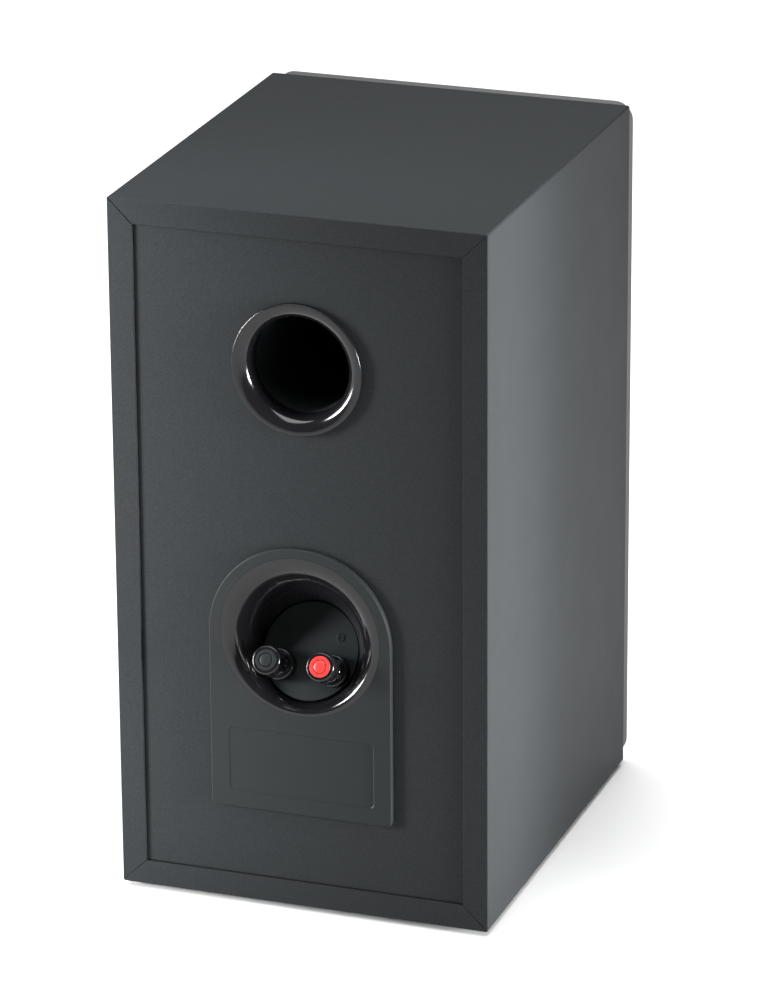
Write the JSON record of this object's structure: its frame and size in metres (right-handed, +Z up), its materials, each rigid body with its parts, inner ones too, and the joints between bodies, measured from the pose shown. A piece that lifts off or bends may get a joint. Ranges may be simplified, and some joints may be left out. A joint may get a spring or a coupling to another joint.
{
  "type": "bookshelf speaker",
  "caption": "Two-way bookshelf loudspeaker with a mitred cabinet, rear port, recessed terminal cup with two clamping posts, drivers, crossover and a push-on grille.",
  "frame": {"origin": "centre of the whole object's footprint, on the plane its foot pads stand on", "axes": "+Z up, -Y to the front (grille), +Y to the back (port and terminals), +X to the right seen from the front"},
  "size_m": [0.212, 0.2726, 0.398],
  "materials": {
    "vinyl": "dark charcoal vinyl wrap with a fine grain, satin",
    "board": "raw fibreboard",
    "satin_plastic": "satin moulded plastic",
    "gloss_plastic": "polished black plastic",
    "cloth": "black acoustic knit",
    "rubber": "matt black rubber",
    "red_plastic": "red plastic",
    "foam": "open-cell grey foam",
    "plated_metal": "nickel plate",
    "steel": "zinc-plated steel",
    "screw_black": "black oxide",
    "cast_frame": "satin black paint",
    "ferrite": "sintered ferrite",
    "cone": "coated fibre",
    "copper": "enamelled copper",
    "spider_cloth": "resin-treated cotton",
    "board_green": "solder-masked laminate",
    "film_yellow": "taped film",
    "ceramic": "unglazed ceramic",
    "nylon": "natural nylon",
    "red_wire": "red PVC",
    "black_wire": "black PVC"
  },
  "bodies": {
    "cabinet": {"top_panel": "vinyl", "bottom_panel": "vinyl", "left_panel": "vinyl", "right_panel": "vinyl", "rear_panel": "vinyl", "front_baffle": "vinyl", "window_brace": "board", "rear_cleats": "board", "damping_pads": "foam", "feet": "rubber", "grille_sockets": "rubber", "port_flange": "gloss_plastic", "port_tube": "satin_plastic", "terminal_plate": "satin_plastic", "terminal_cup": "gloss_plastic", "terminal_disc": "satin_plastic", "foam_gaskets": "rubber", "binding_posts": "plated_metal", "post_collars": "gloss_plastic", "post_nuts": "plated_metal", "post_tags": "plated_metal", "woofer_basket": "cast_frame", "woofer_trim_ring": "rubber", "woofer_surround": "rubber", "woofer_spider": "spider_cloth", "woofer_top_plate": "steel", "woofer_magnet": "ferrite", "woofer_yoke": "steel", "woofer_tag_strip": "board", "tweeter_faceplate": "satin_plastic", "tweeter_surround": "rubber", "tweeter_top_plate": "steel", "tweeter_magnet": "ferrite", "tweeter_yoke": "steel", "driver_screws": "screw_black", "spade_tabs": "plated_metal", "crossover_board": "board_green", "board_standoffs": "nylon", "inductor_bobbins": "nylon", "inductor_coils": "copper", "capacitors": "film_yellow", "resistors": "ceramic", "positive_wires": "red_wire", "negative_wires": "black_wire"},
    "grille": {"grille_frame": "satin_plastic", "grille_cloth": "cloth", "grille_pegs": "satin_plastic"},
    "woofer_diaphragm": {"woofer_cone": "cone", "woofer_dust_cap": "cone", "woofer_voice_coil": "copper"},
    "tweeter_diaphragm": {"tweeter_dome": "cone", "tweeter_voice_coil": "copper"},
    "negative_clamp": {"negative_washer": "plated_metal"},
    "negative_knob": {"negative_knob": "gloss_plastic", "negative_ring": "satin_plastic"},
    "negative_dust_plug": {"negative_plug": "satin_plastic"},
    "positive_clamp": {"positive_washer": "plated_metal"},
    "positive_knob": {"positive_knob": "gloss_plastic", "positive_ring": "red_plastic"},
    "positive_dust_plug": {"positive_plug": "red_plastic"}
  },
  "joints": [
    {"name": "grille_pull", "type": "slide", "parent": "cabinet", "child": "grille", "axis": [0, -1, 0], "range_m": [0, 0.03]},
    {"name": "woofer_travel", "type": "slide", "parent": "cabinet", "child": "woofer_diaphragm", "axis": [0, -1, 0], "range_m": [-0.005, 0.005], "stiffness_N_per_m": 1100, "deforming": ["woofer_surround", "woofer_spider"]},
    {"name": "tweeter_travel", "type": "slide", "parent": "cabinet", "child": "tweeter_diaphragm", "axis": [0, -1, 0], "range_m": [-0.0003, 0.0003], "stiffness_N_per_m": 1000, "deforming": ["tweeter_surround"]},
    {"name": "negative_clamp_slide", "type": "slide", "parent": "cabinet", "child": "negative_clamp", "axis": [0, 0.891, 0.454], "range_m": [-0.00435, 0.002]},
    {"name": "negative_knob_turn", "type": "hinge", "parent": "negative_clamp", "child": "negative_knob", "pos_m": [0.0154, 0.12025, 0.14426], "axis": [0, 0.891, 0.454], "range_deg": [-1250, 570]},
    {"name": "negative_plug_pull", "type": "slide", "parent": "negative_knob", "child": "negative_dust_plug", "axis": [0, 0.891, 0.454], "range_m": [0, 0.012]},
    {"name": "positive_clamp_slide", "type": "slide", "parent": "cabinet", "child": "positive_clamp", "axis": [0, 0.891, 0.454], "range_m": [-0.00435, 0.002]},
    {"name": "positive_knob_turn", "type": "hinge", "parent": "positive_clamp", "child": "positive_knob", "pos_m": [-0.0154, 0.12025, 0.14426], "axis": [0, 0.891, 0.454], "range_deg": [-1250, 570]},
    {"name": "positive_plug_pull", "type": "slide", "parent": "positive_knob", "child": "positive_dust_plug", "axis": [0, 0.891, 0.454], "range_m": [0, 0.012]}
  ],
  "couplings": [
    {"joint": "negative_clamp_slide", "follows": "negative_knob_turn", "m_per_rad": 0.00019894},
    {"joint": "positive_clamp_slide", "follows": "positive_knob_turn", "m_per_rad": 0.00019894}
  ]
}
